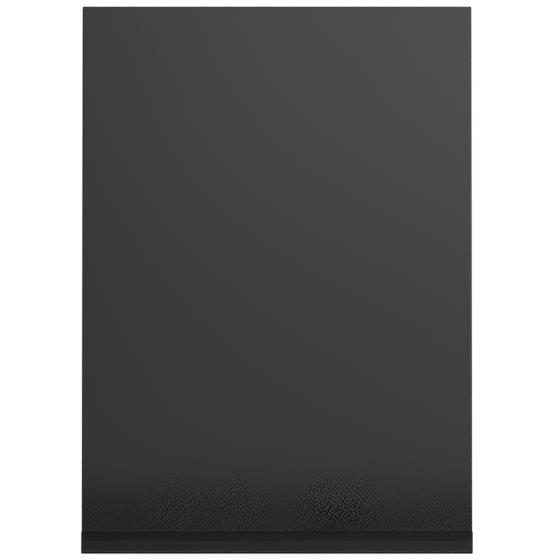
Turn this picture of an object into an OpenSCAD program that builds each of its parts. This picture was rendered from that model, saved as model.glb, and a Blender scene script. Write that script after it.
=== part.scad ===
// Kick plate of armour height for a door: a folded steel pan that hangs on two hook rails, with a rubber
// sweep below it. Millimetres. X runs across the door, Y into the door and Z up. The door's surface is the
// plane y = 0, and the origin is the middle of the rails' screw holes on that plane.

/* [Pan] */
// Width of the pan over its sides
pan_w = 758; // [600:1:1000]
// Height of the pan
pan_h = 1022; // [940:1:1200]
// Distance from the door to the front of the pan
pan_d = 16; // [15:0.5:24]
// Thickness of the sheet
sheet_t = 1.5; // [1:0.1:2]
// Outside radius of the folds
fold_r = 3; // [2.5:0.1:5]
// Depth of the short return along the foot
foot_return = 7; // [5:0.5:8]

/* [Edge trim] */
// Thickness of the trim between the pan and the door
trim_base = 2; // [1:0.1:3]
// Thickness of each leg of the trim
trim_leg = 1; // [0.6:0.1:2]
// Depth to which the trim grips the pan
trim_grip = 6; // [4:0.5:9]
// Radius of the trim's corners on the door's side
trim_r = 1; // [0.4:0.1:1.4]
// Gap between two trims at a corner
trim_joint = 1; // [0.5:0.1:4]

/* [Hook rails] */
// Distance from the ends of the door rails to the pan's sides
rail_side_gap = 49; // [20:1:120]
// Height from the screw holes to the nearer end of the pan
rail_inset = 111; // [105:1:200]
// Thickness of the rails and hangers
rail_t = 2; // [1.5:0.1:2.5]
// Height of a door rail's flat flange
rail_flange = 28; // [20:0.5:40]
// Diameter of the screw holes
rail_hole_d = 5.5; // [4:0.1:7]
// Distance from a rail's end to its outer screw hole
rail_hole_end = 30; // [10:1:100]
// Length by which a door rail passes the end of its hanger
hanger_short = 20; // [5:1:60]
// Height of a hanger's flat flange
hanger_flange = 28; // [22:0.5:40]
// Height of the hook lips
hook_len = 12; // [8:0.5:16]
// Play beside each hook lip
hook_slack = 0.5; // [0.3:0.1:1]
// Gap below the tip of a hanger's lip
hook_end_gap = 1; // [0.5:0.1:2]
// Lead-in chamfer on the lips' tips
hook_chamfer = 0.6; // [0.2:0.1:0.7]
// Lift beyond the point where the hooks part
lift_over = 2; // [1:0.5:4]

/* [Hanger studs and nuts] */
// Diameter of the studs
hanger_stud_d = 4; // [3:0.5:5]
// Distance from a hanger's end to its outer stud
hanger_stud_end = 40; // [15:1:100]
// Gap round each stud in the hanger's hole
stud_hole_gap = 0.25; // [0.1:0.05:0.5]
// Width of the nuts across the flats
hanger_nut_af = 7; // [6:0.5:9]
// Height of the nuts
hanger_nut_h = 4; // [3:0.5:5]
// Diameter of the flange on a nut
hanger_nut_flange_d = 10; // [9:0.5:13]
// Thickness of the flange on a nut
hanger_nut_flange_t = 1; // [0.6:0.1:1.6]
// Gap between a stud and the bore of its nut
thread_gap = 0.1; // [0.05:0.05:0.2]
// Length of stud that shows past its nut
stud_proud = 1; // [0.5:0.1:2]

/* [Stiffeners] */
// Distance from the pan's side to the middle of the outer stiffener
stiffener_inset = 144; // [60:1:180]
// Width of a stiffener's crown
stiffener_crown = 26; // [18:0.5:40]
// Depth of a stiffener
stiffener_depth = 9; // [6:0.5:12]
// Width of each foot of a stiffener
stiffener_foot = 14; // [8:0.5:20]
// Thickness of a stiffener's sheet
stiffener_t = 1.2; // [0.8:0.1:1.5]
// Outside radius of a stiffener's folds
stiffener_r = 3; // [2:0.1:4]
// Gap between a stiffener's ends and the rails
stiffener_gap = 15; // [8:0.5:40]

/* [Sweep carrier] */
// Thickness of the carrier's flange and front wall
carrier_t = 2; // [1.6:0.1:2.4]
// Thickness of the carrier's other walls
channel_t = 1.5; // [1.2:0.1:1.8]
// Height of the front wall between the channel and the pan
carrier_neck = 3; // [2:0.5:10]
// Height of the chamber that takes the caps' plugs
chamber_h = 5.6; // [4:0.1:10]
// Height of the channel that holds the blade's head
channel_h = 5; // [4:0.1:8]
// Width of each lip at the channel's mouth
mouth_lip_w = 0.9; // [0.6:0.1:1]
// Height of each lip at the channel's mouth
mouth_lip_h = 1.4; // [1:0.1:2]
// Downward travel of the sweep
sweep_travel = 10; // [5:0.5:14]
// Gap between the carrier and the pan
carrier_gap = 0.5; // [0.3:0.1:1]
// Gap between the carrier and the door
door_gap = 0.8; // [0.5:0.1:1]
// Play on each side of the sliding flange
slide_gap = 0.2; // [0.1:0.05:0.3]
// Height of the flange above the slots
slot_margin = 6; // [4:0.5:10]
// Gap round a stud in its slot
slot_gap = 0.3; // [0.2:0.05:0.6]
// Thickness of the caps on the carrier's ends
cap_t = 2; // [1.5:0.1:4]
// Length of a cap's plug
cap_plug = 8; // [5:0.5:15]
// Fit between the carrier and what is pushed into it
push_fit = 0.15; // [0.1:0.05:0.2]

/* [Sweep blade] */
// Height of the blade below the carrier
blade_drop = 26; // [16:0.5:40]
// Thickness of the blade
blade_t = 4; // [3.5:0.1:4.5]
// Step from the carrier's front to the blade's front
blade_step = 0.5; // [0.3:0.1:0.8]
// Diameter of the bead along the lower edge
bead_d = 6; // [5:0.1:7]
// Distance by which the bead stands in front of the blade
bead_proud = 0.8; // [0.5:0.1:1]
// Radius of the blade's lower corners
blade_corner_r = 3; // [1:0.1:6]

/* [Sweep studs and nuts] */
// Diameter of the studs
sweep_stud_d = 5; // [4:0.5:6]
// Distance from the pan's side to the outer stud
sweep_stud_end = 94; // [40:1:140]
// Height of the studs above the carrier's web
sweep_stud_rise = 9.5; // [9:0.5:20]
// Width of the nuts across the flats
sweep_nut_af = 8; // [7:0.5:10]
// Height of the nuts
sweep_nut_h = 4; // [3:0.5:5]
// Diameter of the washers
washer_d = 12; // [11:0.5:15]
// Thickness of the washers
washer_t = 1.2; // [0.8:0.1:1.6]

/* [Hidden] */
$fn = 48;

// Length by which a cut runs past the face that it opens
overcut = 1;

// Levels through the depth
pan_front = -pan_d;
pan_back = -trim_base;
sheet_back = pan_front + sheet_t;

// Levels through the height
pan_top = pan_h / 2;
pan_foot = -pan_h / 2;
upper_rail_z = pan_top - rail_inset;
lower_rail_z = pan_foot + rail_inset;
seat_rise = rail_flange / 2 + hook_len;
lift_travel = hook_len - hook_end_gap + lift_over;
stiffener_low = lower_rail_z + seat_rise + hanger_flange + stiffener_gap;
stiffener_high = upper_rail_z - rail_flange / 2 - lift_travel - stiffener_gap;

// Lengths and places along the width
rail_len = pan_w - 2 * rail_side_gap;
hanger_len = rail_len - 2 * hanger_short;
carrier_len = pan_w;
hole_places = even_places(3, rail_len / 2 - rail_hole_end);
hanger_stud_places = even_places(4, hanger_len / 2 - hanger_stud_end);
sweep_stud_places = even_places(4, pan_w / 2 - sweep_stud_end);
stiffener_x = pan_w / 2 - stiffener_inset;

// Carrier
flange_y = sheet_back + slide_gap;
wall_y = pan_front + foot_return + carrier_gap;
channel_back = -door_gap;
cavity_y = wall_y + carrier_t;
cavity_w = channel_back - channel_t - cavity_y;
box_h = mouth_lip_h + channel_h + channel_t + chamber_h + channel_t;
mouth_z = pan_foot - carrier_neck - box_h;
end_top = pan_foot - carrier_gap;
chamber_z = mouth_z + mouth_lip_h + channel_h + channel_t;
web_z = pan_foot + sheet_t + sweep_travel + carrier_gap;
stud_z = web_z + carrier_t + sweep_stud_rise;
slot_d = sweep_stud_d + 2 * slot_gap;
flange_top = stud_z + sweep_travel + slot_d / 2 + slot_margin;
inner_len = pan_w - 2 * (sheet_t + trim_leg + carrier_gap);
washer_y = flange_y + carrier_t + slide_gap;

// Blade
blade_len = carrier_len + 2 * cap_t;
blade_y = wall_y + blade_step;
blade_foot = mouth_z - blade_drop;

// Evenly spaced places from -reach to reach
function even_places(count, reach) = [for (i = [0:count - 1]) reach * (2 * i / (count - 1) - 1)];

// Draws a profile, given in Y and Z, along the width
module along_x(len) {
  translate([-len / 2, 0, 0]) rotate([90, 0, 90]) linear_extrude(len) children();
}

// Round bar or hole along Y, from y
module along_y(d, len, y) {
  translate([0, y, 0]) rotate([-90, 0, 0]) cylinder(d = d, h = len);
}

// Flat shape that starts at y = 0 and has its two far corners rounded
module arched(w, depth, r) {
  translate([-w / 2, 0]) square([w, depth - r]);
  translate([-w / 2 + r, 0]) square([w - 2 * r, depth]);
  for (side = [-1, 1]) translate([side * (w / 2 - r), depth - r]) circle(r);
}

// Block whose four front edges are rounded, with mitred corners and its back at y
module pan_block(w, h, depth, r, y) {
  translate([0, y, 0]) intersection() {
    translate([0, 0, -h / 2]) linear_extrude(h) mirror([0, 1]) arched(w, depth, r);
    along_x(w) rotate(90) arched(h, depth, r);
  }
}

module face_pan() {
  inner_r = max(fold_r - sheet_t, sheet_t / 10);
  color("#3b3b3d") difference() {
    pan_block(pan_w, pan_h, pan_back - pan_front, fold_r, pan_back);
    pan_block(
      pan_w - 2 * sheet_t, pan_h - 2 * sheet_t, pan_back + overcut - sheet_back, inner_r, pan_back + overcut
    );
    // Opening behind the foot return, through which the sweep passes
    translate([sheet_t - pan_w / 2, pan_front + foot_return, pan_foot - overcut])
      cube([pan_w - 2 * sheet_t, pan_d, sheet_t + 2 * overcut]);
  }
}

// Section of the trim, which starts at its two tips and has the pan's edge in the middle
module trim_section() {
  difference() {
    arched(sheet_t + 2 * trim_leg, trim_grip + trim_base, trim_r);
    translate([-sheet_t / 2, -overcut]) square([sheet_t, trim_grip + overcut]);
  }
}

// Trim on the right-hand return
module side_trim() {
  color("#151515") translate([pan_w / 2 - sheet_t / 2, pan_back - trim_grip, pan_foot])
    linear_extrude(pan_h - sheet_t - trim_leg - trim_joint) trim_section();
}

module right_edge_trim() { side_trim(); }

module left_edge_trim() { mirror([1, 0, 0]) side_trim(); }

module top_edge_trim() {
  color("#151515") along_x(pan_w - 2 * (sheet_t + trim_leg + trim_joint))
    translate([pan_back - trim_grip, pan_top - sheet_t / 2]) rotate(-90) trim_section();
}

// Hook rail on the door, with its screw holes at height z and its lip pointing up
module door_rail(z) {
  top = rail_flange / 2;
  tip = top + hook_len;
  lip_back = -rail_t - 2 * hook_slack;
  lip_front = lip_back - rail_t;
  color("#b9bbbd") translate([0, 0, z]) difference() {
    along_x(rail_len) polygon([
      [0, -top], [0, top], [lip_back, top], [lip_back, tip - hook_chamfer], [lip_back - hook_chamfer, tip],
      [lip_front + hook_chamfer, tip], [lip_front, tip - hook_chamfer], [lip_front, top - rail_t],
      [-rail_t, top - rail_t], [-rail_t, -top]
    ]);
    for (x = hole_places) translate([x, 0, 0])
      along_y(rail_hole_d, rail_t + 2 * overcut, -rail_t - overcut);
  }
}

module upper_door_rail() { door_rail(upper_rail_z); }

module lower_door_rail() { door_rail(lower_rail_z); }

// Hook rail on the pan, seated on the door rail whose holes are at height z, with its lip pointing down
module hanger(z) {
  tip = hook_end_gap - hook_len;
  lip_back = -hook_slack;
  lip_front = lip_back - rail_t;
  color("#b9bbbd") translate([0, 0, z + seat_rise]) difference() {
    along_x(hanger_len) polygon([
      [sheet_back, 0], [sheet_back, hanger_flange], [sheet_back + rail_t, hanger_flange],
      [sheet_back + rail_t, rail_t], [lip_back, rail_t], [lip_back, tip + hook_chamfer],
      [lip_back - hook_chamfer, tip], [lip_front + hook_chamfer, tip], [lip_front, tip + hook_chamfer],
      [lip_front, 0]
    ]);
    at_hanger_studs()
      along_y(hanger_stud_d + 2 * stud_hole_gap, rail_t + 2 * overcut, sheet_back - overcut);
  }
}

// Places its children at the studs of a hanger, above the hanger's seat
module at_hanger_studs() {
  for (x = hanger_stud_places) translate([x, 0, (rail_t + hanger_flange) / 2]) children();
}

module upper_hanger() { hanger(upper_rail_z); }

module lower_hanger() { hanger(lower_rail_z); }

module hanger_studs(z) {
  color("#c39a5a") translate([0, 0, z + seat_rise]) at_hanger_studs()
    along_y(hanger_stud_d, rail_t + hanger_nut_h + stud_proud, sheet_back);
}

module upper_hanger_studs() { hanger_studs(upper_rail_z); }

module lower_hanger_studs() { hanger_studs(lower_rail_z); }

// Six-sided nut along Y, with its seat at y
module hex_nut(af, h, bore_d, y) {
  difference() {
    translate([0, y, 0]) rotate([-90, 0, 0]) cylinder(d = af / cos(30), h = h, $fn = 6);
    along_y(bore_d, h + 2 * overcut, y - overcut);
  }
}

module hanger_nuts(z) {
  seat_y = sheet_back + rail_t;
  bore_d = hanger_stud_d + 2 * thread_gap;
  color("#a9abad") translate([0, 0, z + seat_rise]) at_hanger_studs() {
    hex_nut(hanger_nut_af, hanger_nut_h, bore_d, seat_y);
    difference() {
      along_y(hanger_nut_flange_d, hanger_nut_flange_t, seat_y);
      along_y(bore_d, hanger_nut_flange_t + 2 * overcut, seat_y - overcut);
    }
  }
}

module upper_hanger_nuts() { hanger_nuts(upper_rail_z); }

module lower_hanger_nuts() { hanger_nuts(lower_rail_z); }

// Top-hat rib on the back of the sheet, centred at x
module stiffener(x) {
  inner_r = max(stiffener_r - stiffener_t, stiffener_t / 10);
  color("#8d9194") translate([x, sheet_back, stiffener_low]) linear_extrude(stiffener_high - stiffener_low)
    difference() {
      union() {
        arched(stiffener_crown, stiffener_depth, stiffener_r);
        translate([-stiffener_crown / 2 - stiffener_foot, 0])
          square([stiffener_crown + 2 * stiffener_foot, stiffener_t]);
      }
      translate([0, -overcut])
        arched(stiffener_crown - 2 * stiffener_t, stiffener_depth - stiffener_t + overcut, inner_r);
    }
}

module left_stiffener() { stiffener(-stiffener_x); }

module middle_stiffener() { stiffener(0); }

module right_stiffener() { stiffener(stiffener_x); }

// Places its children at the studs that hold the sweep
module at_sweep_studs() {
  for (x = sweep_stud_places) translate([x, 0, stud_z]) children();
}

module sweep_studs() {
  color("#c39a5a") at_sweep_studs()
    along_y(sweep_stud_d, washer_y + washer_t + sweep_nut_h + stud_proud - sheet_back, sheet_back);
}

module sweep_washers() {
  color("#a9abad") at_sweep_studs() difference() {
    along_y(washer_d, washer_t, washer_y);
    along_y(sweep_stud_d + 2 * thread_gap, washer_t + 2 * overcut, washer_y - overcut);
  }
}

module sweep_nuts() {
  color("#a9abad") at_sweep_studs()
    hex_nut(sweep_nut_af, sweep_nut_h, sweep_stud_d + 2 * thread_gap, washer_y + washer_t);
}

// Upright slot through the carrier's flange, from the stud's place at rest to its place at full drop
module flange_slot() {
  depth = carrier_t + 2 * overcut;
  for (rise = [0, sweep_travel]) translate([0, 0, rise]) along_y(slot_d, depth, flange_y - overcut);
  translate([-slot_d / 2, flange_y - overcut, 0]) cube([slot_d, depth, sweep_travel]);
}

// Section of the carrier in Y and Z: flange, web, front wall, plug chamber and channel for the blade's head
module carrier_section() {
  translate([flange_y, web_z + carrier_t]) square([carrier_t, flange_top - web_z - carrier_t]);
  translate([flange_y + carrier_t, web_z]) square([wall_y - flange_y, carrier_t]);
  // Round outer corner, which clears the fold in the pan at full drop
  translate([flange_y + carrier_t, web_z + carrier_t]) intersection() {
    circle(carrier_t);
    translate([-carrier_t, -carrier_t]) square(carrier_t);
  }
  translate([wall_y, mouth_z]) square([carrier_t, web_z + carrier_t - mouth_z]);
  difference() {
    translate([wall_y, mouth_z]) square([channel_back - wall_y, box_h]);
    translate([cavity_y, chamber_z]) square([cavity_w, chamber_h]);
    translate([cavity_y, mouth_z + mouth_lip_h]) square([cavity_w, channel_h]);
    translate([cavity_y + mouth_lip_w, mouth_z - overcut])
      square([cavity_w - 2 * mouth_lip_w, mouth_lip_h + 2 * overcut]);
  }
}

module sweep_carrier() {
  end_cut = (carrier_len - inner_len) / 2 + overcut;
  color("#222223") difference() {
    along_x(carrier_len) carrier_section();
    // Ends narrowed to fit between the pan's sides
    for (side = [0, 1]) mirror([side, 0, 0]) translate([inner_len / 2, pan_front, end_top])
      cube([end_cut, pan_d, flange_top - end_top + overcut]);
    at_sweep_studs() flange_slot();
  }
}

// Section of the blade's head and neck in Y and Z
module blade_head_section() {
  translate([cavity_y + push_fit, mouth_z + mouth_lip_h + push_fit])
    square([cavity_w - 2 * push_fit, channel_h - 2 * push_fit]);
  translate([cavity_y + mouth_lip_w + push_fit, mouth_z - blade_t / 2])
    square([cavity_w - 2 * (mouth_lip_w + push_fit), mouth_lip_h + channel_h / 2 + blade_t / 2]);
}

// Section of the blade's hanging part, with the bead along its lower edge
module blade_drop_section() {
  bead_y = blade_y - bead_proud + bead_d / 2;
  bead_z = blade_foot + bead_d / 2;
  translate([blade_y, bead_z]) square([blade_t, mouth_z - push_fit - bead_z]);
  translate([bead_y, bead_z]) circle(d = bead_d);
}

module sweep_blade() {
  color("#2e2e2f") {
    along_x(carrier_len - 2 * push_fit) blade_head_section();
    intersection() {
      along_x(blade_len) blade_drop_section();
      // Front outline with round lower corners
      translate([0, pan_d / 2, mouth_z]) rotate([90, 0, 0]) linear_extrude(2 * pan_d)
        mirror([0, 1]) arched(blade_len, blade_drop, blade_corner_r);
    }
  }
}

// Cap on the carrier's right-hand end
module carrier_cap() {
  color("#1d1d1e") translate([carrier_len / 2, 0, 0]) rotate([90, 0, 90]) {
    linear_extrude(cap_t) {
      translate([wall_y, mouth_z]) square([channel_back - wall_y, box_h]);
      translate([wall_y, mouth_z]) square([carrier_t, end_top - mouth_z]);
    }
    translate([0, 0, -cap_plug]) linear_extrude(cap_plug + cap_t)
      translate([cavity_y + push_fit, chamber_z + push_fit])
        square([cavity_w - 2 * push_fit, chamber_h - 2 * push_fit]);
  }
}

module right_carrier_cap() { carrier_cap(); }

module left_carrier_cap() { mirror([1, 0, 0]) carrier_cap(); }

upper_door_rail();
lower_door_rail();
face_pan();
upper_hanger();
lower_hanger();
upper_hanger_studs();
lower_hanger_studs();
upper_hanger_nuts();
lower_hanger_nuts();
left_stiffener();
middle_stiffener();
right_stiffener();
left_edge_trim();
right_edge_trim();
top_edge_trim();
sweep_studs();
sweep_washers();
sweep_nuts();
sweep_carrier();
sweep_blade();
left_carrier_cap();
right_carrier_cap();
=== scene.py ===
"""Looks of the kick plate: a grained, powder coated pan on hook rails with a rubber sweep at its foot."""

import math

import bmesh
import bpy
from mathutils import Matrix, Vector


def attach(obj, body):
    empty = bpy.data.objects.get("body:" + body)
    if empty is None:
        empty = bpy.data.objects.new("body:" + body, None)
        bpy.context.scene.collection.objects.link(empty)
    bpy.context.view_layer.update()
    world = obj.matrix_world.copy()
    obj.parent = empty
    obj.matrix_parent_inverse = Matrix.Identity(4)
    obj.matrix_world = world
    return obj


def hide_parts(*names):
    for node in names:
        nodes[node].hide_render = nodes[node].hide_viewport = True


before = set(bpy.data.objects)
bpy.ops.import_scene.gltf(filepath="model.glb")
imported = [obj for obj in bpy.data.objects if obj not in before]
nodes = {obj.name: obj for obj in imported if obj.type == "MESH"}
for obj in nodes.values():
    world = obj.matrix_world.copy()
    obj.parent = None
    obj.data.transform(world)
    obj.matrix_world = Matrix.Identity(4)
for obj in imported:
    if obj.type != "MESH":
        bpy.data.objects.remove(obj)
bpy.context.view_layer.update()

# Sizes in metres, the same as in the part's source
MM = 0.001
PAN_WIDTH = 758 * MM
PAN_HEIGHT = 1022 * MM
PAN_FRONT = -16 * MM
PAN_BACK = -2 * MM
SHEET = 1.5 * MM
SHEET_BACK = PAN_FRONT + SHEET
FOLD_RADIUS = 3 * MM
FOOT_RETURN = 7 * MM
TRIM_LEG = 1 * MM
TRIM_GRIP = 6 * MM
TRIM_ROUND = 1 * MM
TRIM_JOINT = 1 * MM
HANGER_STUD_X = [-270 * MM, -90 * MM, 90 * MM, 270 * MM]
UPPER_STUD_Z = 441 * MM
LOWER_STUD_Z = -359 * MM
HANGER_FLANGE = 2 * MM
SWEEP_STUD_X = [-285 * MM, -95 * MM, 95 * MM, 285 * MM]
SWEEP_STUD_Z = -487.5 * MM
WASHER_SEAT = -12.1 * MM
WASHER_THICK = 1.2 * MM
CARRIER_LENGTH = 758 * MM
SWEEP_LENGTH = 762 * MM
BLADE_FRONT = -8 * MM
BLADE_BACK = -4 * MM
BLADE_TOP = -529.15 * MM
BEAD_Y = -5.8 * MM
BEAD_Z = -552 * MM
BEAD_RADIUS = 3 * MM
FLOOR_Z = -566 * MM
# Points nearer than this are one point, and a place is reached when it is nearer than that
MERGE = 0.005 * MM
NEAR = 0.01 * MM
# Patches where the coat's grain, with its painted highlights and shade, stands out: across, up, half width,
# half height and strength
GRAIN_PATCHES = [
    (-194 * MM, -446 * MM, 88 * MM, 74 * MM, 0.46),
    (-72 * MM, -449 * MM, 86 * MM, 74 * MM, 0.44),
    (-100 * MM, -508 * MM, 230 * MM, 82 * MM, 0.03),
    (114 * MM, -448 * MM, 118 * MM, 70 * MM, 0.75),
    (112 * MM, -508 * MM, 108 * MM, 80 * MM, 0.07),
    (200 * MM, -402 * MM, 90 * MM, 60 * MM, 0.13),
    (270 * MM, -480 * MM, 130 * MM, 75 * MM, 0.11),
    (-255 * MM, 400 * MM, 140 * MM, 140 * MM, 0.09),
    (190 * MM, 430 * MM, 130 * MM, 130 * MM, 0.07),
]
# The spot where the creases are widest: across, up, half width and half height
WIDE_CREASES = (112 * MM, -510 * MM, 110 * MM, 70 * MM)


def linear(hex_colour):
    """Turns an sRGB hex colour into linear RGBA."""
    values = [int(hex_colour[i : i + 2], 16) / 255 for i in (1, 3, 5)]
    return [v / 12.92 if v <= 0.04045 else ((v + 0.055) / 1.055) ** 2.4 for v in values] + [1]


def add(tree, kind, inputs, **settings):
    """Adds a shader node with its settings, and links or sets its inputs.

    A Mix node has its factor at 0, its two numbers at 2 and 3, and its two colours at 6 and 7.
    """
    node = tree.nodes.new("ShaderNode" + kind)
    for name, value in settings.items():
        setattr(node, name, value)
    for socket, value in inputs.items():
        if isinstance(value, bpy.types.NodeSocket):
            tree.links.new(value, node.inputs[socket])
        else:
            node.inputs[socket].default_value = value
    return node


def start_material(name):
    """Returns a new material, its empty node tree and its object coordinates."""
    material = bpy.data.materials.new(name)
    material.use_nodes = True
    tree = material.node_tree
    tree.nodes.clear()
    place = add(tree, "TexCoord", {}).outputs["Object"]
    return material, tree, place


def per_metre(millimetres):
    """Texture scale at which one feature is that wide."""
    return 1 / (millimetres * MM)


def make_powder_coat():
    # Polyester powder coat on steel sheet, baked with a leather-like grain: a dark neutral grey with a
    # satin gloss and a fine orange peel. The grain barely shows on most of the face, and the back is plain.
    # Along the foot, and most in patches, its ridges are paler with painted highlights and its creases are
    # black with painted shade; there the metallic value rises on black, which is painted shade that takes
    # the reflection out of the creases. Its two sets of slanting ridges are about 2 mm apart on the real
    # plate and are drawn about 5.5 mm apart, because finer ones would not show at the size of the picture.
    material, tree, place = start_material("grained polyester powder coat")
    split = add(tree, "SeparateXYZ", {"Vector": place})

    def spot(x, z, half_width, half_height):
        """A round patch on the face that is 1 in its middle and fades to 0 at its rim."""
        centred = add(
            tree,
            "Mapping",
            {"Vector": place, "Location": (x, 0, z), "Scale": (half_width, 1, half_height)},
            vector_type="TEXTURE",
        )
        round_fade = add(tree, "TexGradient", {"Vector": centred.outputs[0]}, gradient_type="SPHERICAL")
        return round_fade.outputs["Fac"]

    # The grain: two waves that cross, laid flat on the face
    laid = add(tree, "Mapping", {"Vector": place, "Rotation": (math.radians(-90), 0, 0)})
    slants = []
    for size, lean in ((8.4, -38), (8, 46)):
        wave = add(
            tree,
            "TexGabor",
            {
                "Vector": laid.outputs[0],
                "Scale": per_metre(size),
                "Frequency": 1.5,
                "Anisotropy": 0.72,
                "Orientation": math.radians(lean),
            },
            gabor_type="2D",
        )
        slants.append(wave.outputs["Value"])
    crossed = add(tree, "Mix", {0: 0.42, 2: slants[0], 3: slants[1]}, data_type="FLOAT")
    lowered = add(
        tree,
        "Math",
        {0: spot(*WIDE_CREASES), 1: -0.05, 2: crossed.outputs[0]},
        operation="MULTIPLY_ADD",
    )
    ridges = add(
        tree,
        "MapRange",
        {"Value": lowered.outputs[0], "From Min": 0.385, "From Max": 0.61},
        interpolation_type="SMOOTHSTEP",
    )

    # Where the grain, with its painted highlights and shade, stands out: along the foot, in the patches,
    # and in front alone
    foot = add(
        tree,
        "MapRange",
        {
            "Value": split.outputs["Z"],
            "From Min": -400 * MM,
            "From Max": -500 * MM,
            "To Min": 0.02,
            "To Max": 0.27,
        },
        interpolation_type="SMOOTHSTEP",
    )
    strength = foot.outputs[0]
    for x, z, half_width, half_height, most in GRAIN_PATCHES:
        risen = add(
            tree,
            "MapRange",
            {
                "Value": spot(x, z, half_width, half_height),
                "From Min": 0.12,
                "From Max": 0.62,
                "To Max": most,
            },
        )
        strength = add(tree, "Math", {0: risen.outputs[0], 1: strength}, operation="ADD").outputs[0]
    front = add(
        tree,
        "MapRange",
        {
            "Value": split.outputs["Y"],
            "From Min": PAN_FRONT + 1.4 * MM,
            "From Max": PAN_FRONT + 0.6 * MM,
            "To Min": 0.02,
        },
    )
    strength = add(
        tree, "Math", {0: strength, 1: front.outputs[0]}, operation="MULTIPLY", use_clamp=True
    ).outputs[0]

    # What it changes: the tone with its painted ridge highlights and crease shade, the painted shade that
    # takes the reflection out of the creases, the gloss and the relief
    # Painted highlight and shade on the grain: the ridges are painted paler as if lit, the creases black as
    # if shaded.
    painted_light = add(
        tree,
        "Mix",
        {0: ridges.outputs[0], 6: linear("#000000"), 7: linear("#333338")},
        data_type="RGBA",
    )
    tone = add(
        tree, "Mix", {0: strength, 6: linear("#19191a"), 7: painted_light.outputs[2]}, data_type="RGBA"
    )
    # Painted shade in the creases: the metallic value rises on black there and takes away their reflection.
    depth = add(tree, "MapRange", {"Value": ridges.outputs[0], "To Min": 0.78, "To Max": 0.0})
    painted_crease_shade = add(tree, "Math", {0: strength, 1: depth.outputs[0]}, operation="MULTIPLY")
    worn = add(tree, "MapRange", {"Value": ridges.outputs[0], "To Min": 0.3, "To Max": 0.4})
    gloss = add(tree, "Mix", {0: strength, 2: 0.34, 3: worn.outputs[0]}, data_type="FLOAT")
    peel = add(tree, "TexNoise", {"Vector": place, "Scale": per_metre(1.6), "Detail": 2.0})
    skin = add(
        tree, "Bump", {"Height": peel.outputs["Fac"], "Strength": 0.25, "Distance": 0.04 * MM}
    )
    relief = add(
        tree,
        "Bump",
        {
            "Height": ridges.outputs[0],
            "Strength": strength,
            "Distance": 0.3 * MM,
            "Normal": skin.outputs[0],
        },
    )
    shader = add(
        tree,
        "BsdfPrincipled",
        {
            "Base Color": tone.outputs[2],
            "Metallic": painted_crease_shade.outputs[0],
            "Roughness": gloss.outputs[0],
            "IOR": 1.4,
            "Normal": relief.outputs[0],
        },
    )
    add(tree, "OutputMaterial", {"Surface": shader.outputs[0]})
    return material


def make_mill_aluminium():
    # Extruded aluminium as it leaves the press: bright grey with fine die lines along its length. The real
    # lines are about 0.2 mm apart and are drawn 1.2 mm apart to show.
    material, tree, place = start_material("mill finish extruded aluminium")
    stretch = add(tree, "Mapping", {"Vector": place, "Scale": (0.012, 1, 1)})
    lines = add(
        tree, "TexNoise", {"Vector": stretch.outputs[0], "Scale": per_metre(1.2), "Detail": 4.0}
    )
    stains = add(tree, "TexNoise", {"Vector": place, "Scale": per_metre(60), "Detail": 5.0})
    tone = add(
        tree,
        "Mix",
        {0: stains.outputs["Fac"], 6: linear("#b4b6b8"), 7: linear("#cfd1d2")},
        data_type="RGBA",
    )
    gloss = add(
        tree,
        "MapRange",
        {
            "Value": lines.outputs["Fac"],
            "From Min": 0.3,
            "From Max": 0.7,
            "To Min": 0.28,
            "To Max": 0.46,
        },
    )
    relief = add(tree, "Bump", {"Height": lines.outputs["Fac"], "Strength": 0.5, "Distance": 0.08 * MM})
    shader = add(
        tree,
        "BsdfPrincipled",
        {
            "Base Color": tone.outputs[2],
            "Metallic": 1.0,
            "Roughness": gloss.outputs[0],
            "Normal": relief.outputs[0],
        },
    )
    add(tree, "OutputMaterial", {"Surface": shader.outputs[0]})
    return material


def make_black_anodised():
    # Black anodised extruded aluminium: its dyed oxide skin is a deep black with a soft sheen and faint die
    # lines along its length, drawn 1.5 mm apart where the real ones are about 0.2 mm.
    material, tree, place = start_material("black anodised extruded aluminium")
    stretch = add(tree, "Mapping", {"Vector": place, "Scale": (0.01, 1, 1)})
    lines = add(
        tree, "TexNoise", {"Vector": stretch.outputs[0], "Scale": per_metre(1.5), "Detail": 3.0}
    )
    gloss = add(
        tree,
        "MapRange",
        {
            "Value": lines.outputs["Fac"],
            "From Min": 0.3,
            "From Max": 0.7,
            "To Min": 0.36,
            "To Max": 0.5,
        },
    )
    relief = add(tree, "Bump", {"Height": lines.outputs["Fac"], "Strength": 0.4, "Distance": 0.06 * MM})
    shader = add(
        tree,
        "BsdfPrincipled",
        {
            "Base Color": linear("#040404"),
            "Roughness": gloss.outputs[0],
            "IOR": 1.38,
            "Normal": relief.outputs[0],
        },
    )
    add(tree, "OutputMaterial", {"Surface": shader.outputs[0]})
    return material


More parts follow.
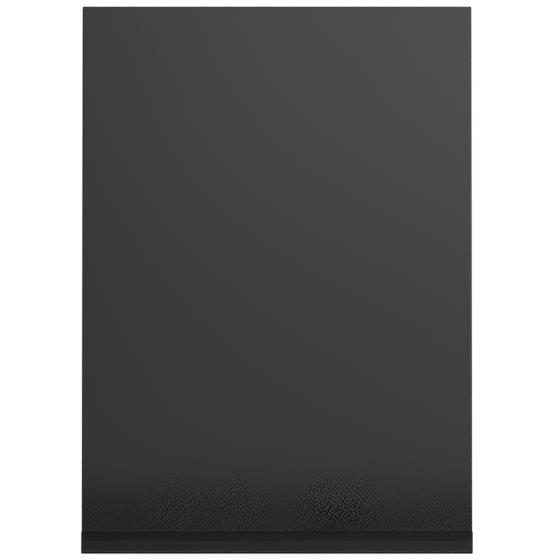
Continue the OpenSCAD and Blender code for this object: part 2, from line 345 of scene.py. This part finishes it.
def make_blade_rubber():
    # Extruded EPDM rubber with a smooth skin: a soft dark grey with a low sheen, faint drag lines along its
    # length and a slight pale bloom in patches about 40 mm wide. The front of its bead is paler with a
    # painted highlight. The edge below it is black with painted shade, and the metallic value rises on
    # black there, which is painted shade that takes away its reflection.
    material, tree, place = start_material("smooth extruded EPDM rubber")
    stretch = add(tree, "Mapping", {"Vector": place, "Scale": (0.015, 1, 1)})
    drag = add(
        tree, "TexNoise", {"Vector": stretch.outputs[0], "Scale": per_metre(2.5), "Detail": 2.0}
    )
    bloom = add(tree, "TexNoise", {"Vector": place, "Scale": per_metre(40), "Detail": 4.0})
    tone = add(
        tree,
        "Mix",
        {0: bloom.outputs["Fac"], 6: linear("#111112"), 7: linear("#161617")},
        data_type="RGBA",
    )
    up = add(tree, "SeparateXYZ", {"Vector": place}).outputs["Z"]
    # Painted highlight: the front of the bead is painted paler between these heights.
    painted_light = add(tree, "MapRange", {"Value": up, "From Min": -548 * MM, "From Max": -550.5 * MM})
    tone = add(
        tree,
        "Mix",
        {0: painted_light.outputs[0], 6: tone.outputs[2], 7: linear("#292a2b")},
        data_type="RGBA",
    )
    # Painted shade: the bead's underside is painted black, and its metallic value rises on black to take
    # away its reflection.
    painted_underside_shade = add(tree, "MapRange", {"Value": up, "From Min": -551.4 * MM, "From Max": -552.1 * MM})
    tone = add(
        tree,
        "Mix",
        {0: painted_underside_shade.outputs[0], 6: tone.outputs[2], 7: linear("#020202")},
        data_type="RGBA",
    )
    underside_reflection_shade = add(tree, "MapRange", {"Value": painted_underside_shade.outputs[0], "To Max": 0.95})
    relief = add(tree, "Bump", {"Height": drag.outputs["Fac"], "Strength": 0.4, "Distance": 0.08 * MM})
    shader = add(
        tree,
        "BsdfPrincipled",
        {
            "Base Color": tone.outputs[2],
            "Metallic": underside_reflection_shade.outputs[0],
            "Roughness": 0.42,
            "IOR": 1.4,
            "Normal": relief.outputs[0],
        },
    )
    add(tree, "OutputMaterial", {"Surface": shader.outputs[0]})
    return material


def make_trim_rubber():
    # Extruded EPDM edging: a matt black with a fine dull grain of about 1 mm.
    material, tree, place = start_material("matt extruded EPDM edging")
    grain = add(tree, "TexNoise", {"Vector": place, "Scale": per_metre(1), "Detail": 3.0})
    tone = add(
        tree,
        "Mix",
        {0: grain.outputs["Fac"], 6: linear("#111111"), 7: linear("#1b1b1b")},
        data_type="RGBA",
    )
    relief = add(tree, "Bump", {"Height": grain.outputs["Fac"], "Strength": 0.4, "Distance": 0.1 * MM})
    shader = add(
        tree,
        "BsdfPrincipled",
        {
            "Base Color": tone.outputs[2],
            "Roughness": 0.7,
            "IOR": 1.5,
            "Normal": relief.outputs[0],
        },
    )
    add(tree, "OutputMaterial", {"Surface": shader.outputs[0]})
    return material


def make_galvanised_steel():
    # Hot-dip galvanised steel sheet: grey zinc that froze into spangles about 9 mm wide, each with its own
    # tone and gloss. Their edges wander by about 3.5 mm.
    material, tree, place = start_material("hot-dip galvanised steel sheet")
    bend = add(tree, "TexNoise", {"Vector": place, "Scale": per_metre(6), "Detail": 3.0})
    edge = add(
        tree,
        "Mix",
        {0: 3.5 * MM, 6: place, 7: bend.outputs["Color"]},
        data_type="RGBA",
        blend_type="ADD",
    )
    spangle = add(tree, "TexVoronoi", {"Vector": edge.outputs[2], "Scale": per_metre(9)})
    value = add(tree, "SeparateColor", {"Color": spangle.outputs["Color"]})
    tone = add(
        tree,
        "Mix",
        {0: value.outputs[0], 6: linear("#8f9396"), 7: linear("#b9bdc0")},
        data_type="RGBA",
    )
    gloss = add(tree, "MapRange", {"Value": value.outputs[1], "To Min": 0.32, "To Max": 0.55})
    relief = add(tree, "Bump", {"Height": value.outputs[2], "Strength": 0.25, "Distance": 0.05 * MM})
    shader = add(
        tree,
        "BsdfPrincipled",
        {
            "Base Color": tone.outputs[2],
            "Metallic": 1.0,
            "Roughness": gloss.outputs[0],
            "Normal": relief.outputs[0],
        },
    )
    add(tree, "OutputMaterial", {"Surface": shader.outputs[0]})
    return material


def make_plated_steel(name, dull, bright, roughest):
    # Cold-headed steel with a thin electroplate: a bright skin over fine drawing marks about 0.8 mm wide, a
    # little duller where the bath left it thin.
    material, tree, place = start_material(name)
    marks = add(tree, "TexNoise", {"Vector": place, "Scale": per_metre(0.8), "Detail": 3.0})
    clouds = add(tree, "TexNoise", {"Vector": place, "Scale": per_metre(4), "Detail": 2.0})
    tone = add(
        tree,
        "Mix",
        {0: clouds.outputs["Fac"], 6: linear(dull), 7: linear(bright)},
        data_type="RGBA",
    )
    gloss = add(tree, "MapRange", {"Value": marks.outputs["Fac"], "To Min": 0.15, "To Max": roughest})
    shader = add(
        tree,
        "BsdfPrincipled",
        {"Base Color": tone.outputs[2], "Metallic": 1.0, "Roughness": gloss.outputs[0]},
    )
    add(tree, "OutputMaterial", {"Surface": shader.outputs[0]})
    return material


def make_cap_nylon():
    # Moulded nylon 6: a near black with the fine spark texture of its mould, drawn 0.8 mm wide.
    material, tree, place = start_material("spark textured moulded nylon")
    spark = add(tree, "TexNoise", {"Vector": place, "Scale": per_metre(0.8), "Detail": 2.0})
    gloss = add(tree, "MapRange", {"Value": spark.outputs["Fac"], "To Min": 0.4, "To Max": 0.62})
    relief = add(tree, "Bump", {"Height": spark.outputs["Fac"], "Strength": 0.5, "Distance": 0.1 * MM})
    shader = add(
        tree,
        "BsdfPrincipled",
        {
            "Base Color": linear("#171718"),
            "Roughness": gloss.outputs[0],
            "IOR": 1.53,
            "Normal": relief.outputs[0],
        },
    )
    add(tree, "OutputMaterial", {"Surface": shader.outputs[0]})
    return material


powder_coat = make_powder_coat()
mill_aluminium = make_mill_aluminium()
black_anodised = make_black_anodised()
blade_rubber = make_blade_rubber()
trim_rubber = make_trim_rubber()
galvanised_steel = make_galvanised_steel()
zinc_plate = make_plated_steel("bright zinc plated steel", "#b3b8bd", "#cdd2d6", 0.42)
copper_flash = make_plated_steel("copper flashed weld stud steel", "#a5714f", "#c68f68", 0.45)
cap_nylon = make_cap_nylon()


def deselect():
    bpy.ops.object.select_all(action="DESELECT")


def edit(piece):
    """Opens one piece in edit mode."""
    deselect()
    piece.select_set(True)
    bpy.context.view_layer.objects.active = piece
    bpy.ops.object.mode_set(mode="EDIT")


def close():
    bpy.ops.object.mode_set(mode="OBJECT")


def pick(kind, test):
    """Selects the points, edges or faces of the piece in edit mode that pass a test."""
    bpy.ops.mesh.select_mode(type=kind)
    bpy.ops.mesh.select_all(action="DESELECT")
    data = bpy.context.object.data
    mesh = bmesh.from_edit_mesh(data)
    for item in {"VERT": mesh.verts, "EDGE": mesh.edges, "FACE": mesh.faces}[kind]:
        if test(item):
            item.select_set(True)
    mesh.select_flush_mode()
    bmesh.update_edit_mesh(data)


def turn_outwards():
    bpy.ops.mesh.select_all(action="SELECT")
    bpy.ops.mesh.normals_make_consistent(inside=False)


def apply(piece, kind, **settings):
    """Adds a modifier to a piece and applies it."""
    modifier = piece.modifiers.new(kind.lower(), kind)
    for name, value in settings.items():
        setattr(modifier, name, value)
    bpy.context.view_layer.objects.active = piece
    bpy.ops.object.modifier_apply(modifier=modifier.name)


def shape(piece, operation, tool):
    """Cuts a piece with a tool or joins the two, and takes the tool away."""
    apply(piece, "BOOLEAN", operation=operation, object=tool, solver="EXACT")
    bpy.data.objects.remove(tool)


def ease_edges(piece, width, angle=40):
    """Rounds the sharp edges of a piece a little."""
    apply(
        piece,
        "BEVEL",
        width=width,
        segments=2,
        limit_method="ANGLE",
        angle_limit=math.radians(angle),
        use_clamp_overlap=True,
        harden_normals=False,
    )


def hand_over(piece, material, body, slot, *replaced):
    """Gives a finished piece its material and its body, and lets it stand for its solids."""
    deselect()
    piece.select_set(True)
    bpy.context.view_layer.objects.active = piece
    bpy.ops.object.shade_smooth_by_angle(angle=math.radians(35))
    apply(piece, "WEIGHTED_NORMAL", weight=100, keep_sharp=True)
    piece.data.materials.clear()
    piece.data.materials.append(material)
    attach(piece, body)
    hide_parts(*replaced)


def draw(name, points):
    """Starts a piece as a single point and extrudes it through the given points."""
    deselect()
    bpy.ops.mesh.primitive_plane_add(size=MM, location=points[0])
    piece = bpy.context.object
    piece.name = name
    bpy.ops.object.transform_apply(location=True, rotation=True, scale=True)
    bpy.ops.object.mode_set(mode="EDIT")
    bpy.ops.mesh.select_mode(type="VERT")
    bpy.ops.mesh.select_all(action="SELECT")
    bpy.ops.mesh.merge(type="CENTER")
    for here, there in zip(points, points[1:]):
        step = Vector(there) - Vector(here)
        bpy.ops.mesh.extrude_vertices_move(TRANSFORM_OT_translate={"value": step})
    return piece


def drawn_bar(name, outline, travel):
    """Draws a closed outline, fills it and extrudes it into a bar."""
    piece = draw(name, outline)
    bpy.ops.mesh.select_all(action="SELECT")
    bpy.ops.mesh.edge_face_add()
    bpy.ops.mesh.extrude_region_move(TRANSFORM_OT_translate={"value": travel})
    turn_outwards()
    close()
    return piece


def spun(name, outline, steps=36):
    """Draws a profile of radius and depth and spins it round the Y axis."""
    piece = draw(name, [(radius, y, 0) for radius, y in outline])
    bpy.ops.mesh.select_all(action="SELECT")
    bpy.ops.mesh.spin(steps=steps, angle=math.tau, center=(0, 0, 0), axis=(0, 1, 0))
    bpy.ops.mesh.select_all(action="SELECT")
    bpy.ops.mesh.remove_doubles(threshold=MERGE)
    turn_outwards()
    close()
    return piece


def row(name, model, places):
    """Copies a model to each place and joins the copies into one piece."""
    copies = []
    for place in places:
        deselect()
        model.select_set(True)
        bpy.context.view_layer.objects.active = model
        bpy.ops.object.duplicate()
        copy = bpy.context.object
        copy.location = place
        bpy.ops.object.transform_apply(location=True, rotation=True, scale=True)
        copies.append(copy)
    deselect()
    for copy in copies:
        copy.select_set(True)
    bpy.context.view_layer.objects.active = copies[0]
    bpy.ops.object.join()
    copies[0].name = name
    return copies[0]


def softened(name, node, width):
    """Copies a solid, clears the seams between its triangles and rounds its edges a little."""
    piece = bpy.data.objects.new(name, nodes[node].data.copy())
    bpy.context.scene.collection.objects.link(piece)
    edit(piece)
    bpy.ops.mesh.customdata_custom_splitnormals_clear()
    bpy.ops.mesh.select_all(action="SELECT")
    bpy.ops.mesh.remove_doubles(threshold=MERGE)
    bpy.ops.mesh.dissolve_limited(angle_limit=math.radians(0.5))
    close()
    ease_edges(piece, width)
    return piece


def arc(centre, radius, start, end, steps):
    """Points on an arc, from one angle to another in degrees."""
    angles = [math.radians(start + (end - start) * i / steps) for i in range(steps + 1)]
    return [(centre[0] + radius * math.cos(a), centre[1] + radius * math.sin(a)) for a in angles]


def make_pan():
    """Folds the face pan from one sheet: the face, then its returns, then the folds and the corners."""
    half_w = PAN_WIDTH / 2
    half_h = PAN_HEIGHT / 2
    deselect()
    bpy.ops.mesh.primitive_grid_add(
        x_subdivisions=12,
        y_subdivisions=16,
        size=1,
        location=(0, PAN_FRONT, 0),
        rotation=(math.pi / 2, 0, 0),
    )
    pan = bpy.context.object
    pan.name = "folded_face_pan"
    pan.scale = (PAN_WIDTH, PAN_HEIGHT, 1)
    bpy.ops.object.transform_apply(location=True, rotation=True, scale=True)
    edit(pan)
    # Returns on all four sides, and then the deeper ones at the sides and the top
    pick("EDGE", lambda edge: edge.is_boundary)
    bpy.ops.mesh.extrude_region_move(TRANSFORM_OT_translate={"value": (0, FOOT_RETURN, 0)})

    def deep_edge(edge):
        middle = (edge.verts[0].co + edge.verts[1].co) / 2
        at_side = abs(middle.x) > half_w - NEAR or middle.z > half_h - NEAR
        return edge.is_boundary and at_side

    pick("EDGE", deep_edge)
    rest = PAN_BACK - PAN_FRONT - FOOT_RETURN
    bpy.ops.mesh.extrude_region_move(TRANSFORM_OT_translate={"value": (0, rest, 0)})

    def fold_edge(edge):
        ends = [vert.co for vert in edge.verts]
        in_front = all(co.y < PAN_FRONT + NEAR for co in ends)
        at_side = all(abs(co.x) > half_w - NEAR for co in ends)
        at_end = all(abs(co.z) > half_h - NEAR for co in ends)
        return in_front and (at_side or at_end)

    pick("EDGE", fold_edge)
    bpy.ops.mesh.bevel(offset=FOLD_RADIUS, offset_type="OFFSET", segments=6, affect="EDGES")
    turn_outwards()
    close()
    apply(pan, "SOLIDIFY", thickness=SHEET, offset=-1, use_even_offset=True)
    hand_over(pan, powder_coat, "plate", "grained_coat", "face_pan")


def trim_outline():
    """Section of the edging: width and depth, with the sheet's edge in its slot."""
    slot = SHEET / 2
    side = slot + TRIM_LEG
    deep = TRIM_GRIP
    back = TRIM_GRIP - PAN_BACK
    lead = 0.3 * MM
    left = [(-side, lead), (lead - side, 0), (-slot - lead, 0), (-slot, lead), (-slot, deep)]
    right = [(slot, deep), (slot, lead), (slot + lead, 0), (side - lead, 0), (side, lead)]
    far_right = arc((side - TRIM_ROUND, back - TRIM_ROUND), TRIM_ROUND, 0, 90, 4)
    far_left = arc((TRIM_ROUND - side, back - TRIM_ROUND), TRIM_ROUND, 90, 180, 4)
    return left + right + far_right + far_left


def make_trims():
    """Pushes rubber edging on to the pan's side and top returns."""
    start_y = PAN_BACK - TRIM_GRIP
    foot_z = -PAN_HEIGHT / 2
    middle_x = PAN_WIDTH / 2 - SHEET / 2
    middle_z = PAN_HEIGHT / 2 - SHEET / 2
    corner = SHEET + TRIM_LEG + TRIM_JOINT
    for side, name in ((-1, "left_edge_trim"), (1, "right_edge_trim")):
        outline = [(side * middle_x + x, start_y + y, foot_z) for x, y in trim_outline()]
        trim = drawn_bar(name + "_rubber", outline, (0, 0, PAN_HEIGHT - corner))
        hand_over(trim, trim_rubber, "plate", "trim_rubber", name)
    length = PAN_WIDTH - 2 * corner
    outline = [(-length / 2, start_y + y, middle_z + z) for z, y in trim_outline()]
    trim = drawn_bar("top_edge_trim_rubber", outline, (length, 0, 0))
    hand_over(trim, trim_rubber, "plate", "trim_rubber", "top_edge_trim")


def make_blade():
    """Draws the rubber blade: a head in the carrier, a flat drop and a bead along its lower edge."""
    head_top = -522.75 * MM
    head_foot = -527.45 * MM
    head_front, head_back = -6.35 * MM, -2.45 * MM
    neck_front, neck_back = -5.45 * MM, -3.35 * MM
    barb = 0.8 * MM
    back_angle = math.degrees(math.acos((BLADE_BACK - BEAD_Y) / BEAD_RADIUS))
    front_angle = -math.degrees(math.acos((BLADE_FRONT - BEAD_Y) / BEAD_RADIUS))
    section = [
        (head_front + barb, head_top),
        (head_back - barb, head_top),
        (head_back, head_top - barb),
        (head_back, head_foot),
        (neck_back, head_foot),
        (neck_back, BLADE_TOP),
        (BLADE_BACK, BLADE_TOP),
    ]
    section += arc((BEAD_Y, BEAD_Z), BEAD_RADIUS, back_angle, front_angle, 20)
    section += [
        (BLADE_FRONT, BLADE_TOP),
        (neck_front, BLADE_TOP),
        (neck_front, head_foot),
        (head_front, head_foot),
        (head_front, head_top - barb),
    ]
    head_length = CARRIER_LENGTH - 0.3 * MM
    outline = [(-head_length / 2, y, z) for y, z in section]
    blade = drawn_bar("sweep_blade_rubber", outline, (head_length, 0, 0))
    # The drop below the carrier is as long as the carrier with its caps
    edit(blade)
    bpy.ops.mesh.select_all(action="SELECT")
    bpy.ops.mesh.bisect(plane_co=(0, 0, BLADE_TOP), plane_no=(0, 0, 1))
    for side in (-1, 1):

        def end_face(face):
            middle = face.calc_center_median()
            return side * middle.x > head_length / 2 - NEAR and middle.z < BLADE_TOP

        pick("FACE", end_face)
        reach = side * (SWEEP_LENGTH - head_length) / 2
        bpy.ops.mesh.extrude_region_move(TRANSFORM_OT_translate={"value": (reach, 0, 0)})
    turn_outwards()
    close()
    # Round lower corners, as seen from in front
    half = SWEEP_LENGTH / 2
    clear = half + MM
    corner = 3 * MM
    low = BEAD_Z - BEAD_RADIUS
    behind, through = 10 * MM, 30 * MM
    front = [(clear, head_top + MM), (-clear, head_top + MM), (-clear, BLADE_TOP), (-half, BLADE_TOP)]
    front += arc((corner - half, low + corner), corner, 180, 270, 8)
    front += arc((half - corner, low + corner), corner, 270, 360, 8)
    front += [(half, BLADE_TOP), (clear, BLADE_TOP)]
    outline = [(x, behind, z) for x, z in front]
    cutter = drawn_bar("blade_front_outline", outline, (0, -through, 0))
    shape(blade, "INTERSECT", cutter)
    hand_over(blade, blade_rubber, "sweep", "blade_rubber", "sweep_blade")


def make_stud(name, radius, pitch, length, seat):
    """Spins a weld stud with ring threads and a chamfered tip."""
    depth = 0.6 * pitch
    tip = seat + length
    profile = [(0, seat), (radius, seat)]
    y = seat + pitch
    while y + pitch < tip - depth:
        profile += [(radius, y), (radius - depth, y + pitch / 2)]
        y += pitch
    profile += [(radius, y), (radius - depth, tip), (0, tip)]
    return spun(name, profile, steps=24)


def make_nut(name, flats, height, bore, seat, flange=0):
    """Turns a hexagon to a chamfered nut, adds its flange if it has one, and bores it."""
    corners = flats / math.cos(math.pi / 6)
    top = seat + height
    overlap = 0.3 * MM if flange else 0
    rim = corners / 2 + 0.1 * MM
    face = 0.475 * flats
    drop = (rim - face) * math.tan(math.pi / 6)
    lead = 0.25 * MM
    deselect()
    bpy.ops.mesh.primitive_cylinder_add(
        vertices=6,
        radius=corners / 2,
        depth=height - overlap,
        location=(0, seat + (height + overlap) / 2, 0),
        rotation=(math.pi / 2, math.pi / 6, 0),
    )
    nut = bpy.context.object
    nut.name = name
    bpy.ops.object.transform_apply(location=True, rotation=True, scale=True)
    turned = [(0, seat - lead), (rim, seat - lead), (rim, top - drop), (face, top), (0, top)]
    shape(nut, "INTERSECT", spun("nut_chamfer", turned, steps=48))
    if flange:
        ease = 0.15 * MM
        skirt = [
            (0, seat),
            (flange - ease, seat),
            (flange, seat + ease),
            (flange, seat + 0.4 * MM),
            (flats / 2, seat + 1 * MM),
            (0, seat + 1 * MM),
        ]
        shape(nut, "UNION", spun("nut_flange", skirt, steps=48))
    drill = [
        (0, seat - MM),
        (bore, seat - MM),
        (bore, top - lead),
        (bore + 2 * lead, top + lead),
        (0, top + lead),
    ]
    shape(nut, "DIFFERENCE", spun("nut_bore", drill, steps=48))
    edit(nut)
    bpy.ops.mesh.select_all(action="SELECT")
    bpy.ops.mesh.remove_doubles(threshold=0.02 * MM)
    bpy.ops.mesh.dissolve_degenerate(threshold=0.01 * MM)
    close()
    return nut


def make_hanger_fasteners():
    """Weld studs and flange nuts that hold the hangers to the pan."""
    stud = make_stud("hanger_stud", 2 * MM, 0.7 * MM, 7 * MM, SHEET_BACK)
    seat = SHEET_BACK + HANGER_FLANGE
    nut = make_nut("hanger_nut", 7 * MM, 4 * MM, 2.1 * MM, seat, flange=5 * MM)
    for level, z in (("upper", UPPER_STUD_Z), ("lower", LOWER_STUD_Z)):
        places = [(x, 0, z) for x in HANGER_STUD_X]
        studs = row(level + "_hanger_studs_threaded", stud, places)
        hand_over(studs, copper_flash, "plate", "coppered_steel", level + "_hanger_studs")
        nuts = row(level + "_hanger_flange_nuts", nut, places)
        hand_over(nuts, zinc_plate, "plate", "zinc_steel", level + "_hanger_nuts")
    bpy.data.objects.remove(stud)
    bpy.data.objects.remove(nut)


def make_sweep_fasteners():
    """Weld studs, washers and nuts that clamp the carrier's slotted flange."""
    places = [(x, 0, SWEEP_STUD_Z) for x in SWEEP_STUD_X]
    seat = WASHER_SEAT + WASHER_THICK
    length = seat + 5 * MM - SHEET_BACK
    ease = 0.2 * MM
    edge = 6 * MM
    bore = 2.6 * MM
    ring = [
        (bore, WASHER_SEAT),
        (edge, WASHER_SEAT),
        (edge, seat - ease),
        (edge - ease, seat),
        (bore, seat),
        (bore, WASHER_SEAT),
    ]
    stud = make_stud("sweep_stud", 2.5 * MM, 0.8 * MM, length, SHEET_BACK)
    washer = spun("sweep_washer", ring, steps=48)
    nut = make_nut("sweep_nut", 8 * MM, 4 * MM, bore, seat)
    models = [
        (stud, copper_flash, "coppered_steel", "studs"),
        (washer, zinc_plate, "zinc_steel", "washers"),
        (nut, zinc_plate, "zinc_steel", "nuts"),
    ]
    for model, material, slot, kind in models:
        piece = row("sweep_" + kind + "_row", model, places)
        hand_over(piece, material, "plate", slot, "sweep_" + kind)
        bpy.data.objects.remove(model)


def make_rails():
    """Rails on the door, hangers on the pan, ribs, and the sweep's carrier with its caps."""
    edges = 0.25 * MM
    for level in ("upper", "lower"):
        rail = softened(level + "_hook_rail", level + "_door_rail", edges)
        hand_over(rail, mill_aluminium, "door_rails", "rail_aluminium", level + "_door_rail")
        hanger = softened(level + "_hook_hanger", level + "_hanger", edges)
        hand_over(hanger, mill_aluminium, "plate", "rail_aluminium", level + "_hanger")
    for side in ("left", "middle", "right"):
        rib = softened(side + "_rib", side + "_stiffener", 0.15 * MM)
        hand_over(rib, galvanised_steel, "plate", "galvanised_steel", side + "_stiffener")
    carrier = softened("sweep_carrier_extrusion", "sweep_carrier", edges)
    hand_over(carrier, black_anodised, "sweep", "black_anodised", "sweep_carrier")
    for side in ("left", "right"):
        cap = softened(side + "_carrier_end_cap", side + "_carrier_cap", edges)
        hand_over(cap, cap_nylon, "sweep", "cap_nylon", side + "_carrier_cap")


make_pan()
make_trims()
make_blade()
make_hanger_fasteners()
make_sweep_fasteners()
make_rails()


def seen_white(tree, lit, white):
    """Shows white to the camera, in reflections and through glass, and the lit surface to other light."""
    path = add(tree, "LightPath", {})
    seen = add(
        tree,
        "Math",
        {0: path.outputs["Is Camera Ray"], 1: path.outputs["Is Glossy Ray"]},
        operation="MAXIMUM",
    )
    seen = add(
        tree,
        "Math",
        {0: seen.outputs[0], 1: path.outputs["Is Transmission Ray"]},
        operation="MAXIMUM",
    )
    return add(tree, "MixShader", {0: seen.outputs[0], 1: lit, 2: white})


def make_floor():
    """Pale floor that shows white and keeps a trace of the plate's shadow."""
    deselect()
    bpy.ops.mesh.primitive_plane_add(size=16, location=(0, 0, FLOOR_Z))
    floor = bpy.context.object
    floor.name = "studio_floor"
    material, tree, _ = start_material("pale studio floor")
    paint = add(tree, "BsdfDiffuse", {"Color": linear("#e6e6e6")})
    glow = add(tree, "Emission", {"Color": (1, 1, 1, 1), "Strength": 0.86})
    trace = add(tree, "BsdfDiffuse", {"Color": (0.3, 0.3, 0.3, 1)})
    white = add(tree, "AddShader", {0: glow.outputs[0], 1: trace.outputs[0]})
    surface = seen_white(tree, paint.outputs[0], white.outputs[0])
    add(tree, "OutputMaterial", {"Surface": surface.outputs[0]})
    floor.data.materials.append(material)


def make_card(name, tone, size, place, turn):
    """Dark studio card that only shows in reflections."""
    deselect()
    bpy.ops.mesh.primitive_plane_add(size=1, location=place, rotation=[math.radians(a) for a in turn])
    card = bpy.context.object
    card.name = name
    card.scale = (size[0], size[1], 1)
    material, tree, _ = start_material("dark studio card " + name)
    paper = add(tree, "Emission", {"Color": (1, 1, 1, 1), "Strength": tone})
    add(tree, "OutputMaterial", {"Surface": paper.outputs[0]})
    card.data.materials.append(material)
    card.visible_camera = False
    card.visible_diffuse = False
    card.visible_shadow = False
    card.visible_transmission = False


def make_softbox(name, size, watts, place, target):
    """Soft area light, turned to a target."""
    light = bpy.data.lights.new(name, "AREA")
    light.shape = "RECTANGLE"
    light.size = size[0]
    light.size_y = size[1]
    light.energy = watts
    lamp = bpy.data.objects.new(name, light)
    bpy.context.scene.collection.objects.link(lamp)
    lamp.location = place
    lamp.rotation_euler = (Vector(target) - Vector(place)).to_track_quat("-Z", "Y").to_euler()


def make_world():
    """White room: white to the eye and in reflections, and an even light on the rest."""
    world = bpy.data.worlds.new("white room")
    bpy.context.scene.world = world
    world.use_nodes = True
    tree = world.node_tree
    tree.nodes.clear()
    light = add(tree, "Background", {"Color": (1, 1, 1, 1), "Strength": 0.6})
    white = add(tree, "Background", {"Color": (1, 1, 1, 1), "Strength": 1.0})
    surface = seen_white(tree, light.outputs[0], white.outputs[0])
    add(tree, "OutputWorld", {"Surface": surface.outputs[0]})


def make_camera():
    """Camera a little below the middle of the plate, looking almost square at it."""
    camera = bpy.data.cameras.new("camera")
    camera.sensor_width = 36
    camera.lens = 118.5
    eye = bpy.data.objects.new("camera", camera)
    bpy.context.scene.collection.objects.link(eye)
    eye.location = (0.0059, -3.6, -0.0827)
    eye.rotation_euler = (math.radians(90.963), 0, 0)
    bpy.context.scene.camera = eye


make_floor()
CARD_LENGTH = 2.4
CARD_Z = FLOOR_Z + 2 * MM
make_card("foot_card", 0.07, (CARD_LENGTH, 0.1), (0, -0.316, FLOOR_Z + 50 * MM), (90, 0, 0))
make_card("floor_card", 0.42, (CARD_LENGTH, 0.27), (0, -0.18, CARD_Z), (0, 0, 0))
make_card("under_card", 0, (CARD_LENGTH, 0.378), (0, 0.199, CARD_Z), (0, 0, 0))
make_card("left_card", 0, (1.3, 0.12), (-0.46, 0, 0), (0, 90, 0))
make_card("top_card", 0, (2.0, 1.8), (0, 0.75, 1.2), (0, 0, 0))
make_card("left_flag", 0.3, (1.3, 0.8), (-1.45, -2.4, -0.166), (90, 0, 0))
make_softbox("upper_softbox", (3.6, 2.73), 50, (1.1, -2.94, 1.54), (0, 0, 0.1))
make_softbox("right_softbox", (1.4, 2.4), 26, (1.9, -2.4, 0.4), (0.3, 0, 0))
make_world()
make_camera()
bpy.context.scene.view_settings.view_transform = "Standard"
